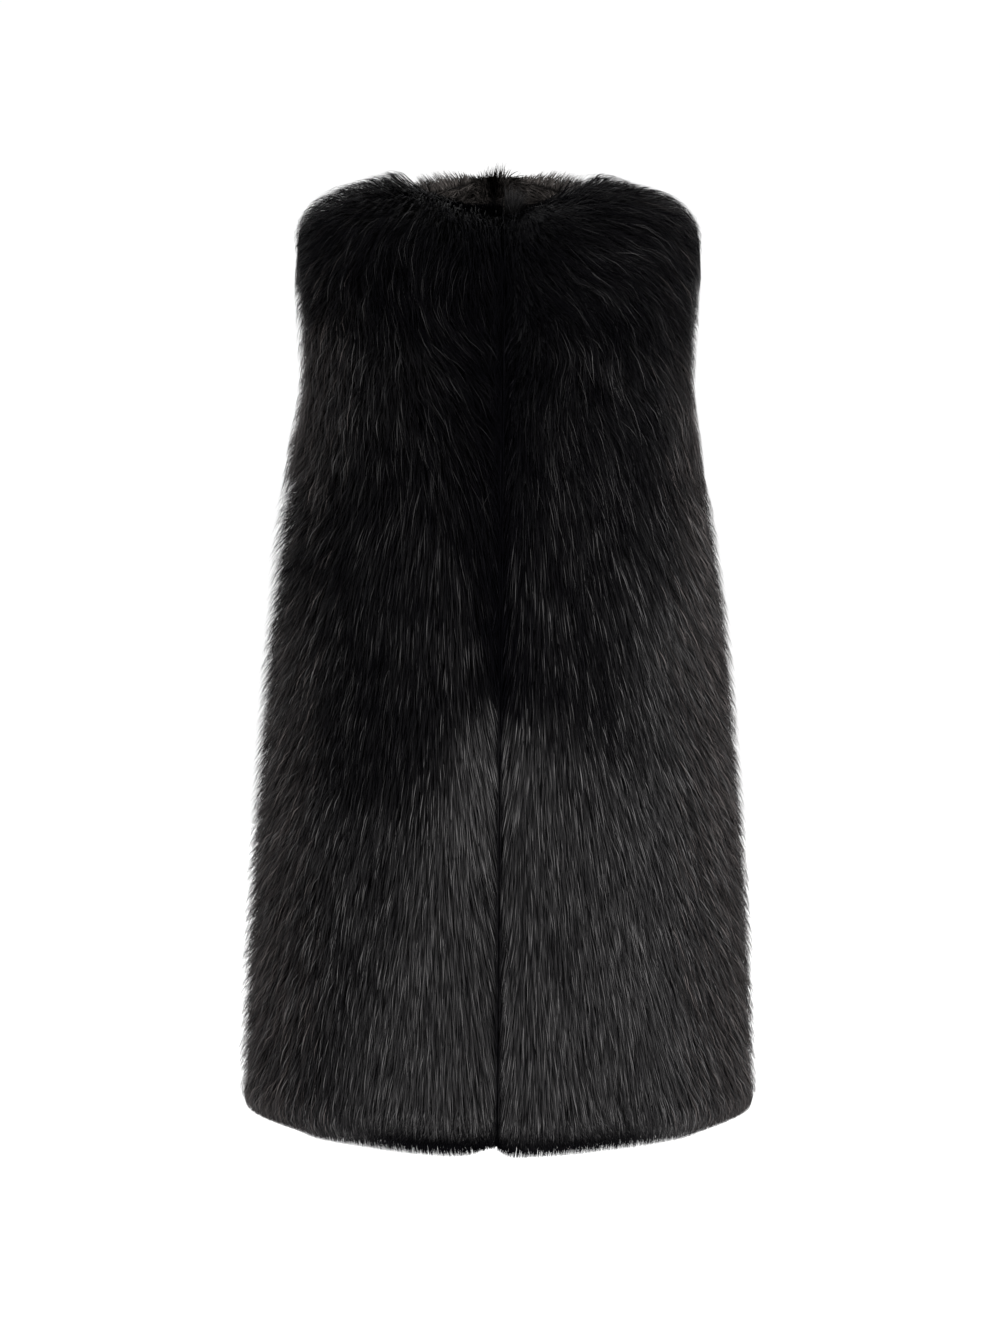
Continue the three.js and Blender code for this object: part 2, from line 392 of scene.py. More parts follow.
def panel_ends(panel, along):
    """The first and the last angle of a panel's cloth at a height."""
    width, front_depth = ring_row(along)[3:5]
    if panel.sign == 0:
        cut = armhole_half_width(along, ARMHOLE_BACK, ARMHOLE_OVERHANG) / width
        return RIGHT_ANGLE + cut, 3 * RIGHT_ANGLE - cut
    corner = CORNER_RADIUS * (1 - rounded(along - HEM_OVERHANG, CORNER_RADIUS))
    edge = front_line(along) + panel.sign * (SEAM_GAP / 2 + corner)
    start = np.arcsin(edge / front_depth)
    cut = armhole_half_width(along, ARMHOLE_FRONT, ARMHOLE_OVERHANG) / width
    return start, panel.sign * (RIGHT_ANGLE - cut)


def panel_place(panel, u, v):
    """The angle and the distance up of a place on a panel's cloth: u runs round, and v up."""
    along = HEM_OVERHANG + (NECK - NECK_OVERHANG - HEM_OVERHANG) * v
    start, end = panel_ends(panel, along)
    return start + (end - start) * u, along


def facing_place(u, v):
    """The same for the strip inside the back of the neck."""
    start = math.radians(FACING_END)
    angle = start + (2 * math.pi - 2 * start) * u
    return angle, NECK - FACING_BELOW_EDGE - FACING_HEIGHT * (1 - v)


def seam_shift(panel):
    """Half the gap at the side seams, to the front or to the back."""
    return np.array([0, SEAM_GAP / 2 if panel.sign == 0 else -SEAM_GAP / 2, 0])


def waves(points, length, seed):
    """A smooth random value for each point, about -1 to 1, that changes over a length."""
    rng = np.random.default_rng(seed)
    count = 9
    ways = unit(rng.normal(size=(count, 3))) * rng.uniform(0.6, 1.5, (count, 1))
    phases = rng.uniform(0, 2 * math.pi, count)
    turns = points @ (ways.T * 2 * math.pi / length) + phases
    return np.sin(turns).sum(-1) * math.sqrt(2 / count) / 1.6


def scattered(place, count, rng):
    """Places spread evenly over a panel's area."""
    columns, rows = 60, 160
    u_edges, v_edges = np.linspace(0, 1, columns + 1), np.linspace(0, 1, rows + 1)
    corners = inner_point(*place(*np.meshgrid(u_edges, v_edges)))
    sides = corners[:-1, 1:] - corners[:-1, :-1]
    ups = corners[1:, :-1] - corners[:-1, :-1]
    area = np.linalg.norm(np.cross(sides, ups), axis=-1).ravel()
    edges = np.concatenate([[0], np.cumsum(area)]) / area.sum()
    picks = (np.arange(count) + rng.uniform(0, 1, count)) / count
    cell = np.clip(np.searchsorted(edges, picks) - 1, 0, len(area) - 1)
    row, column = np.divmod(cell, columns)
    u = (column + rng.uniform(0, 1, count)) / columns
    v = (row + rng.uniform(0, 1, count)) / rows
    return place(u, v)


def outward_side(angle):
    """1 where a larger angle lies further from the centre line, and -1 where it lies nearer."""
    return np.sign(np.sin(angle) * np.cos(angle))


def body_lean(points, angle, along):
    """How far the hair leans from straight down, towards larger angles, in radians."""
    across = points[..., 0] - front_line(along)
    away = np.abs(across)
    height = points[..., 2]
    is_front = np.cos(angle) > 0
    on_left = across > 0
    outward = np.where(on_left, 0.12, -0.02) * to_side(angle, 0.15, 0.85)
    near_hole = bump(np.maximum(from_armhole(angle, along), 0), 0, 18)
    outward = outward + np.where(is_front, 0.5, 0.35) * near_hole
    meeting = 0.20 * bump(away, 0, np.where(on_left, 20, 42))
    right_chest = np.exp(-(((away - 45) / 40) ** 2) - ((height + 190) / 80) ** 2)
    right_edge = smooth_step(away, 110, 165) * smooth_step(height, -200, -120)
    left_sweep = smooth_step(away, 5, 50) * smooth_step(height, -170, -80)
    front_lean = np.where(on_left, 0.55 * left_sweep, 0.4 * right_edge - 0.55 * right_chest)
    at_neck = smooth_step(along, 850, 884) * smooth_step(np.cos(angle), 0.2, 0.7)
    front_lean = front_lean + 0.5 * at_neck
    chest = smooth_step(along, 480, 720)
    ruffle = (0.04 + 0.17 * chest) * waves(points, 90, 5)
    ruffle = ruffle + (0.01 + 0.15 * chest) * waves(points, 30, 6)
    lean = outward + np.where(is_front, front_lean - meeting, 0)
    return outward_side(angle) * lean + ruffle


def combed(angle, along, length, own_lean, lift, joints, lean_of, room_of):
    """Carries hairs from their roots over the form. Gives their joints and the way out at each."""
    share = np.linspace(0, 1, joints)
    step = length / (joints - 1)
    points = np.empty((*angle.shape, joints, 3))
    outs = np.empty_like(points)
    height = np.zeros_like(angle)
    curl = smooth_step(along, 520, 700)
    for joint in range(joints):
        point, round_way, up_way = surface(angle, along)
        out = unit(np.cross(round_way, up_way))
        rise = 1 - (1 - share[joint]) ** (1.5 + 1.1 * curl)
        floor, depth = room_of(point, angle, along)
        # A positive lift is a share of the pile's depth, and a negative one points inwards.
        full = np.where(lift > 0, np.maximum(depth * lift - floor, 1.5), depth * lift)
        new_height = floor + full * rise
        points[..., joint, :] = point + out * new_height[..., None]
        outs[..., joint, :] = out
        lean = lean_of(point, angle, along)
        root_lean = lean if joint == 0 else root_lean
        lean = root_lean + (lean - root_lean) * curl + own_lean
        climb = np.abs(new_height - height) if joint else 0.45 * step
        height = new_height
        forward = np.sqrt(np.maximum(step**2 - climb**2, (0.35 * step) ** 2))
        angle = angle + np.sin(lean) * forward / np.maximum(np.linalg.norm(round_way, axis=-1), 20)
        along = along - np.cos(lean) * forward / np.maximum(np.linalg.norm(up_way, axis=-1), 0.3)
    return points, outs


def hem_ends(angle, along, rng):
    """How far below the hem line each hair may hang."""
    ends = HEM_TIPS + rng.uniform(-1.2, 0.8, angle.shape)
    roots = inner_point(angle, along)
    is_front = roots[..., 1] < 0
    ends = ends + 2.5 * bump(roots[..., 0], -120, 50) * is_front
    ends = ends + 1.5 * bump(roots[..., 0], 115, 45) * is_front
    ends = ends - 5 * smooth_step(np.abs(roots[..., 0]), 150, 190)
    # The fronts' lower corners leave a notch between them, wider on the wearer's right.
    across = roots[..., 0] - front_line(0)
    notch = bump(across, 0, np.where(across < 0, 20, 8)) * is_front
    return ends - np.where(across < 0, 11, 8) * notch


def turned_under(points):
    """1 where the hem turns under most, less on the wearer's left, and 0 towards the sides. It places
    the hem band's painted shade, and where the long hairs stop short.
    """
    across = points[..., 0]
    most = bump(across, -38, 78, 4)
    less = 0.8 * bump(across, 60, 75, 4)
    return np.maximum(most, less) * (points[..., 1] < 0)


def kept_aside(points, sign, margin):
    """The points of one front, moved off the line where the two meet so that no hair crosses it."""
    line = front_line(points[..., 2] - RINGS[0].front)
    own = sign * (points[..., 0] - line)
    room = margin[:, None]
    moved = points.copy()
    nearest = room + room * np.exp(np.minimum(own / room - 2, 0))
    moved[..., 0] = line + sign * np.maximum(own, nearest)
    return moved


def gathered(points, tree, guides, strength):
    """Draws each hair's joints towards those of the nearest lock."""
    joints = points.shape[1]
    nearest = np.array([tree.find(root)[1] for root in points[:, 0]])
    offset = points[:, :1] - guides[nearest][:, :1]
    lock = guides[nearest] + offset * 0.25
    pull = strength[:, None, None] * (np.linspace(0, 1, joints) ** 1.4)[None, :, None]
    return points + (lock - points) * pull, nearest


def blade_mesh(name, points, outs, width, roll, tone, bend, warm=0):
    """One mesh of flat, tapering hairs. Its map holds the share of the hair and its tone.

    A bend above 1 keeps the root's painted shade for longer, so that only the tip is pale.
    Warm is 1 for a hair of the warmer colour, which lies in the map's upper half.
    """
    hairs, joints, _ = points.shape
    steps = joints - 1
    ways = unit(np.gradient(points, axis=1))
    across = unit(np.cross(ways, outs))
    lifted = np.cross(across, ways)
    turn = roll[:, None, None]
    across = across * np.cos(turn) + lifted * np.sin(turn)
    share = np.linspace(0, 1, joints)
    half = width[:, None, None] / 2 * (1 - share**2.2)[None, :, None]
    pairs = np.stack([points - across * half, points + across * half], 2)[:, :steps]
    tips = points[:, steps:]
    vertices = np.concatenate([pairs.reshape(hairs, -1, 3), tips], 1)
    count = 2 * steps + 1
    base = (np.arange(hairs) * count)[:, None]
    quads = [[2 * i, 2 * i + 1, 2 * i + 3, 2 * i + 2] for i in range(steps - 1)]
    last = [2 * steps - 2, 2 * steps - 1, 2 * steps]
    order = np.array([*sum(quads, []), *last])
    corners = base + order[None, :]
    sizes = [4] * (steps - 1) + [3]
    starts = np.arange(hairs)[:, None] * len(order) + np.cumsum([0, *sizes[:-1]])[None, :]
    map_u = np.repeat(share[None, :] ** bend[:, None], 2, axis=1)[:, : count]
    sides = np.append(np.tile([-1.0, 1.0], steps), 0.0)
    uv = np.empty((hairs, len(order), 2))
    uv[..., 0] = map_u[:, order]
    lower_half = (tone[:, None] + 0.006 * sides[order][None, :]) / 2
    uv[..., 1] = lower_half + np.broadcast_to(warm, hairs)[:, None] / 2
    mesh = bpy.data.meshes.new(name)
    mesh.vertices.add(hairs * count)
    mesh.vertices.foreach_set("co", (vertices * MM).astype(np.float32).ravel())
    mesh.loops.add(corners.size)
    mesh.loops.foreach_set("vertex_index", corners.astype(np.int32).ravel())
    mesh.polygons.add(starts.size)
    mesh.polygons.foreach_set("loop_start", starts.astype(np.int32).ravel())
    mesh.polygons.foreach_set("use_smooth", np.ones(starts.size, bool))
    layer = mesh.uv_layers.new(name="OFBake")
    layer.uv.foreach_set("vector", uv.clip(0.002, 0.998).astype(np.float32).ravel())
    mesh.update(calc_edges=True)
    mesh.validate()
    return mesh


def finished(mesh, materials, node):
    """Links a mesh as a piece that rides on the garment and stands for a node."""
    piece = bpy.data.objects.new(mesh.name, mesh)
    bpy.context.scene.collection.objects.link(piece)
    for material in materials:
        mesh.materials.append(material)
    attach(piece, "root")
    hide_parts(node)
    return piece


def cloth(name, place, columns, rows, lift_of, shift):
    """A sheet on the form, from a grid."""
    bm = bmesh.new()
    bmesh.ops.create_grid(bm, x_segments=columns, y_segments=rows, size=0.5)
    flat = np.array([vertex.co for vertex in bm.verts])
    angle, along = place(flat[:, 0] + 0.5, flat[:, 1] + 0.5)
    point, round_way, up_way = surface(angle, along)
    out = unit(np.cross(round_way, up_way))
    moved = point + out * lift_of(point, angle, along)[:, None] + shift
    for vertex, co in zip(bm.verts, moved * MM, strict=True):
        vertex.co = co
    for face in bm.faces:
        face.smooth = True
    mesh = bpy.data.meshes.new(name)
    bm.to_mesh(mesh)
    bm.free()
    return mesh


def thicken(piece, thickness):
    """The cloth's thickness, added outwards, with the second material on the back."""
    shell = piece.modifiers.new("Thickness", "SOLIDIFY")
    shell.thickness = thickness
    shell.offset = 1
    shell.material_offset = 1
    shell.material_offset_rim = 0


def new_group(name, inputs, outputs):
    """A node group with its sockets, and with its input and output nodes."""
    group = bpy.data.node_groups.new(name, "ShaderNodeTree")
    for way, sockets in (("INPUT", inputs), ("OUTPUT", outputs)):
        for socket, kind in sockets.items():
            group.interface.new_socket(socket, in_out=way, socket_type=f"NodeSocket{kind}")
    return group, group.nodes.new("NodeGroupInput"), group.nodes.new("NodeGroupOutput")


def set_inputs(node, values):
    """Gives a node's inputs their values, by name."""
    for name, value in values.items():
        node.inputs[name].default_value = value


def new_material(name):
    """A material, with its nodes, its links and its shader."""
    material = bpy.data.materials.new(name)
    material.use_nodes = True
    tree = material.node_tree
    return material, tree.nodes, tree.links, tree.nodes["Principled BSDF"]


def math_node(nodes, operation, value=0.5):
    """A Math node and its second value."""
    node = nodes.new("ShaderNodeMath")
    node.operation = operation
    node.inputs[1].default_value = value
    return node


def colour_mix(nodes):
    """A Mix node for colours."""
    node = nodes.new("ShaderNodeMix")
    node.data_type = "RGBA"
    return node


def pile_group():
    """The hair's colour and gloss, from its share of the way to the tip and its tone."""
    name = "PileColour"
    if name in bpy.data.node_groups:
        return bpy.data.node_groups[name]
    group, given, result = new_group(
        name,
        {"Share": "Float", "Tone": "Float", "Dark": "Color", "Pale": "Color", "Warm": "Color"},
        {"Color": "Color", "Roughness": "Float"},
    )
    nodes, links = group.nodes, group.links
    # The map's lower half holds the plain hairs' tones, and its upper half the warm ones'.
    double = math_node(nodes, "MULTIPLY", 2)
    tone = math_node(nodes, "FRACT")
    upper = math_node(nodes, "GREATER_THAN")
    palest = colour_mix(nodes)
    links.new(given.outputs["Tone"], double.inputs[0])
    links.new(double.outputs[0], tone.inputs[0])
    links.new(given.outputs["Tone"], upper.inputs[0])
    links.new(upper.outputs[0], palest.inputs["Factor"])
    links.new(given.outputs["Pale"], palest.inputs["A"])
    links.new(given.outputs["Warm"], palest.inputs["B"])
    bend = math_node(nodes, "POWER", PALE_BEND)
    blend = colour_mix(nodes)
    links.new(tone.outputs[0], bend.inputs[0])
    links.new(bend.outputs[0], blend.inputs["Factor"])
    links.new(given.outputs["Dark"], blend.inputs["A"])
    links.new(palest.outputs["Result"], blend.inputs["B"])
    # Painted shade: the hair is darker towards its root, deep in the pile.
    depth = nodes.new("ShaderNodeMapRange")
    depth.interpolation_type = "SMOOTHSTEP"
    set_inputs(depth, {"From Max": 0.55, "To Min": 0.25})
    links.new(given.outputs["Share"], depth.inputs["Value"])
    shade = nodes.new("ShaderNodeVectorMath")
    shade.operation = "SCALE"
    links.new(blend.outputs["Result"], shade.inputs[0])
    links.new(depth.outputs["Result"], shade.inputs["Scale"])
    links.new(shade.outputs["Vector"], result.inputs["Color"])
    gloss = nodes.new("ShaderNodeMapRange")
    set_inputs(gloss, {"To Min": 0.27, "To Max": 0.42})
    links.new(tone.outputs[0], gloss.inputs["Value"])
    links.new(gloss.outputs["Result"], result.inputs["Roughness"])
    return group


def hair_material(name, dark, pale, warm, tint):
    """Glossy hair whose colour comes from its own map."""
    material, nodes, links, shader = new_material(name)
    set_inputs(shader, {"Specular IOR Level": 0.035, "Specular Tint": (*tint, 1)})
    own = nodes.new("ShaderNodeUVMap")
    own.uv_map = "OFBake"
    split = nodes.new("ShaderNodeSeparateXYZ")
    links.new(own.outputs["UV"], split.inputs[0])
    group = nodes.new("ShaderNodeGroup")
    group.node_tree = pile_group()
    set_inputs(group, {"Dark": (*dark, 1), "Pale": (*pale, 1), "Warm": (*warm, 1)})
    links.new(split.outputs["X"], group.inputs["Share"])
    links.new(split.outputs["Y"], group.inputs["Tone"])
    links.new(group.outputs["Color"], shader.inputs["Base Color"])
    links.new(group.outputs["Roughness"], shader.inputs["Roughness"])
    return material


def weave_group():
    """A fine plain weave: a shade and a height from the object's own coordinates."""
    name = "PlainWeave"
    if name in bpy.data.node_groups:
        return bpy.data.node_groups[name]
    group, given, result = new_group(
        name, {"Threads": "Float", "Base": "Color"}, {"Color": "Color", "Height": "Float"}
    )
    nodes, links = group.nodes, group.links
    place = nodes.new("ShaderNodeTexCoord")
    total = math_node(nodes, "ADD")
    for direction, socket_in in (("Z", total.inputs[0]), ("DIAGONAL", total.inputs[1])):
        thread = nodes.new("ShaderNodeTexWave")
        thread.bands_direction = direction
        thread.inputs["Distortion"].default_value = 0.4
        links.new(place.outputs["Object"], thread.inputs["Vector"])
        links.new(given.outputs["Threads"], thread.inputs["Scale"])
        links.new(thread.outputs["Fac"], socket_in)
    shade = nodes.new("ShaderNodeMapRange")
    set_inputs(shade, {"From Max": 2.0, "To Min": 0.7, "To Max": 1.2})
    links.new(total.outputs[0], shade.inputs["Value"])
    tint = nodes.new("ShaderNodeVectorMath")
    tint.operation = "SCALE"
    links.new(given.outputs["Base"], tint.inputs[0])
    links.new(shade.outputs["Result"], tint.inputs["Scale"])
    links.new(tint.outputs["Vector"], result.inputs["Color"])
    links.new(total.outputs[0], result.inputs["Height"])
    return group


def cloth_material(name, colour, roughness, threads):
    """Woven cloth with a fine thread."""
    material, nodes, links, shader = new_material(name)
    set_inputs(shader, {"Roughness": roughness, "Specular IOR Level": 0.15})
    group = nodes.new("ShaderNodeGroup")
    group.node_tree = weave_group()
    set_inputs(group, {"Threads": threads, "Base": (*colour, 1)})
    relief = nodes.new("ShaderNodeBump")
    set_inputs(relief, {"Strength": 0.25, "Distance": 0.0003})
    links.new(group.outputs["Color"], shader.inputs["Base Color"])
    links.new(group.outputs["Height"], relief.inputs["Height"])
    links.new(relief.outputs["Normal"], shader.inputs["Normal"])
    return material


def shared_material(name, make):
    """The material of that name, made once."""
    return bpy.data.materials.get(name) or make()


def cloth_materials(settings):
    """The plain inner face, and the backing that the hair grows from."""
    return [
        shared_material("lining", lambda: cloth_material("lining", settings.lining, 0.45, 900)),
        shared_material("backing", lambda: cloth_material("backing", settings.backing, 0.9, 500)),
    ]


def body_tone(points, tips, angle):
    """How pale the hair is, with its painted sheen and painted light: charcoal at the hem and the
    sides and black above. Also its painted shade.
    """
    height = points[..., 2]
    across = points[..., 0] - front_line(height - RINGS[0].front)
    away = np.abs(across)
    is_front = np.cos(angle) > 0
    ragged = 12 * waves(points, 60, 8) + 6 * waves(points, 16, 9)
    # Painted sheen: the charcoal starts below the middle, where the fur lies flatter and catches more
    # light, as a wide upturned V that fades towards the sides.
    slope = np.where(across < 0, 1.6, 0.3)
    edge = PAINTED_SHEEN_V_POINT - slope * away - np.where(across > 0, 22, 0) + ragged
    fade = np.where(across < 0, 14 + 1.2 * away, 18 + 0.2 * away)
    right_side = smooth_step(-across, 60, 190)
    low = smooth_step((edge - height) / fade, -0.7, 1.3) * (1 - 0.28 * right_side)
    low = np.maximum(low, 0.45 * smooth_step(-height, 490, 590) * (across < 0))
    # The painted sheen starts higher up on the wearer's left side than on the right.
    left_side = smooth_step(across, 75, 155) * smooth_step(-340 + ragged - height, -60, 90)
    low = np.maximum(low, left_side)
    low = np.where(is_front, low, smooth_step(PAINTED_SHEEN_V_POINT + ragged - height, -60, 220))
    # Painted rim light: paler at the sides, where light grazes the fur.
    sides = to_side(angle, 0.75, 1.0) * smooth_step(-height, 60, 240)
    # Painted sheen: a little weaker beside the line on the wearer's left, and a little stronger low on
    # that side.
    sheen_dip_beside_line = bump(across, 50, 45) * (1 - 0.7 * smooth_step(-height, 640, 760))
    left_foot = smooth_step(across, 0, 60) * smooth_step(-height, 480, 640)
    low = low * (1 - 0.24 * sheen_dip_beside_line) * (1 + 0.06 * left_foot)
    # The palest painted sheen is just under the point of the V. The rest is painted rim light, sheen
    # and glints, which lift the black a little.
    painted_sheen_patch = np.where(is_front, np.exp(-(((across + 20) / 24) ** 2) - ((height + 510) / 65) ** 2), 0)
    # Painted sheen and glints: at the waist by the line, on the bust's outer sides and on the wearer's
    # left shoulder.
    waist_sheen = smooth_step(-height, 110, 330) * smooth_step(away, 0, 50)
    waist_sheen = waist_sheen * np.where(across < 0, 0.85, 0.9)
    waist_sheen = waist_sheen + 0.7 * smooth_step(-height, 340, 430) * bump(across, -35, 30)
    bust_sheen = bump(height, -185, 55) * smooth_step(away, 25, 70)
    shoulder_glints = smooth_step(across, 30, 70) * smooth_step(height, -140, -90)
    # Painted rim light at the very sides, painted light under the wearer's right arm, and a painted
    # highlight on top of the right shoulder's ridge at the back.
    painted_rim_light = to_side(angle, 0.72, 0.95) * smooth_step(-height, 80, 160)
    # Painted shade on the wearer's right flank under the bust, which takes the painted rim light away.
    flank_painted_shade = bump(height, -330, 75) * (across < 0)
    under_arm_painted_light = bump(height, -165, 60) * smooth_step(-across, 90, 150)
    ridge = smooth_step(height, -45, -12) * smooth_step(-points[..., 0], 40, 80) * (points[..., 1] > 0)
    # All the painted light together, less where the flank's painted shade falls.
    painted_light = (0.18 * sides + 0.25 * painted_rim_light) * (1 - 0.9 * flank_painted_shade)
    painted_light = painted_light + 0.15 * waist_sheen + 0.10 * bust_sheen + 0.09 * shoulder_glints + 0.3 * ridge + 0.16 * under_arm_painted_light
    # The tone is the black lifted by the painted sheen and the painted light.
    tone = 0.04 + 0.575 * low + painted_light * (1 - low) + 0.22 * painted_sheen_patch * low
    # Painted shade in the dark line where the fronts meet, which is widest between the chest and the
    # point of the V.
    wide = smooth_step(-height, 150, 260) * (1 - smooth_step(-height, 430, 460))
    chest = smooth_step(height, -270, -190)
    reach = 5 + 7 * wide + np.where(across > 0, 20, 6) * chest
    gap_painted_shade = np.where(is_front, 1 - smooth_step(away, 0.5 + 2 * wide + 3 * chest, reach), 0)
    # Painted shade on the front just under the neck opening.
    neck = np.where(is_front, smooth_step(height, -90, -55), 0) * (1 - smooth_step(away, 40, 80))
    shade = (1 - (0.8 + 0.15 * wide) * gap_painted_shade) * (1 - 0.9 * neck)
    # Painted shade where the hem turns under, darkest to the right of the middle.
    hem_painted_shade = 1 - smooth_step(tips[..., 2] - ring_bottom(angle), 5, 19)
    shade = shade * (1 - (0.16 + 0.74 * turned_under(points)) * hem_painted_shade)
    return (tone + 0.05 * waves(points, 45, 10)) * shade, shade


def ring_bottom(angle):
    """The height of the hem line at an angle."""
    ring = RINGS[0]
    middle = np.where(np.cos(angle) > 0, ring.front, ring.back)
    return ring.side + (middle - ring.side) * np.cos(angle) ** 2


def loft(angle, along):
    """The fur stands a little higher on the wearer's right, the sides and the shoulders."""
    on_right = np.sin(angle) < 0
    at_hole = bump(from_armhole(angle, along), 0, 22) * smooth_step(along, 600, 650)
    at_hole = at_hole * (1 - smooth_step(along, 745, 790)) * np.where(on_right, 0.05, -0.17)
    right = smooth_step(-np.sin(angle), 0.5, 1)
    ridge = smooth_step(along, 780, 840) * to_side(angle, 0.5, 0.9)
    flank = to_side(angle, 0.6, 1) * (1 - smooth_step(along, 560, 620))
    underarm = np.where(on_right, 0.2 * right * bump(along, 545, 40), -0.2 * bump(along, 600, 28))
    right = right * (0.5 + 0.5 * smooth_step(along, 20, 70))
    return 1 + 0.20 * right + at_hole + 0.16 * ridge + 0.07 * flank + underarm


def standing(place, count, joints, rng):
    """Short hairs that stand up along the neck edge, longest where the fronts meet.

    Gives their joints, the way out at each, their places and how much paler each hair is.
    """
    angle, along = place(rng.uniform(0, 1, count), 1 - 0.016 * rng.uniform(0, 1, count))
    point, round_way, up_way = surface(angle, along)
    out = unit(np.cross(round_way, up_way))
    # The hairs stand on the cloth's own top edge, on its inner face.
    spread = rng.normal(size=(3, count, 1)) * np.array([0.35, 0.25, 0.25])[:, None, None]
    way = (0.35 + spread[2]) * out + spread[0] * unit(round_way)
    way[:, 2:] += 0.9 + spread[1]
    share = np.linspace(0, 1, joints)[None, :, None]
    forward = np.clip(np.cos(angle), 0, 1)
    tuft = bump(point[..., 0] - front_line(along), 7, 7) * (forward > 0)
    across = np.abs(point[..., 0])
    beside = smooth_step(across, 10, 45) * (1 - smooth_step(across, 64, 80))
    dip = bump(point[..., 0], -8, 18)
    length = np.where(forward > 0, 7 + 22 * tuft + 6 * dip, 5 + 13 * beside)
    reach = (length * rng.uniform(0.5, 1.1, count))[:, None, None]
    droop = 0.3 * (out[:, None] * 0.8 - unit(up_way)[:, None]) * share**2
    points = point[:, None] + reach * (unit(way)[:, None] * share + droop)
    outs = np.broadcast_to(unit(out - 0.4 * unit(up_way))[:, None], points.shape)
    at_side = bump(across, 63, 8) * (np.cos(angle) > -0.2)
    # Paler hairs at the tuft and at the strip's sides: partly a browner colour, partly painted glints.
    paler = 0.42 * tuft + np.where(point[..., 0] < 0, 0.3, 0.2) * at_side
    return points, outs, angle, along, paler


def lock_guides(place, count, length, guard, joints, room, rng):
    """The locks' own hairs, which the others are drawn to, and a tree that finds the nearest."""
    angle, along = scattered(place, count, rng)
    guides, _ = combed(
        angle, along, length * rng.uniform(0.9, 1.1, count), 0.06 * rng.normal(size=count),
        rng.uniform(0.9, 1.1, count) * (1 if guard else 0.8), joints, body_lean, room,
    )
    tree = kdtree.KDTree(count)
    for index, root in enumerate(guides[:, 0]):
        tree.insert(root, index)
    tree.balance()
    return guides, tree


def pile_places(panel, place, count, rng):
    """Places for hairs, closer at the hem and round the armholes, where the cloth would show."""
    def by_armhole(u, v):
        near = 1 - 0.1 * u
        near = near if panel.sign else np.where(u < 0.5, 0.1 * u, 1 - 0.1 * (1 - u))
        return place(near, ARMHOLE_SHARES[0] + (ARMHOLE_SHARES[1] - ARMHOLE_SHARES[0]) * v)

    at_hem, at_hole = count // 6, count // 12
    return np.concatenate([
        scattered(place, count - at_hem - at_hole, rng),
        scattered(lambda u, v: place(u, HEM_SHARE * v), at_hem, rng),
        scattered(by_armhole, at_hole, rng),
    ], axis=1)


def guard_tone(tone_with_painted_light, shade, chest, across, rng):
    """The long hairs' tone. A few carry painted glints, fewer in mid-chest and in the black below it.
    """
    tone = tone_with_painted_light * (0.66 + 0.20 * rng.normal(size=len(tone_with_painted_light)))
    painted_glints = np.minimum(0.35 * rng.exponential(size=len(tone_with_painted_light)) ** 3, 8)
    calm = chest * bump(across, 5, 45)
    calm = calm + (1 - chest) * 0.9 * (across < -8) * (1 - smooth_step(tone_with_painted_light, 0.1, 0.3))
    return tone + (0.05 * shade + 0.16 * tone_with_painted_light) * (1 - 0.6 * calm) * painted_glints


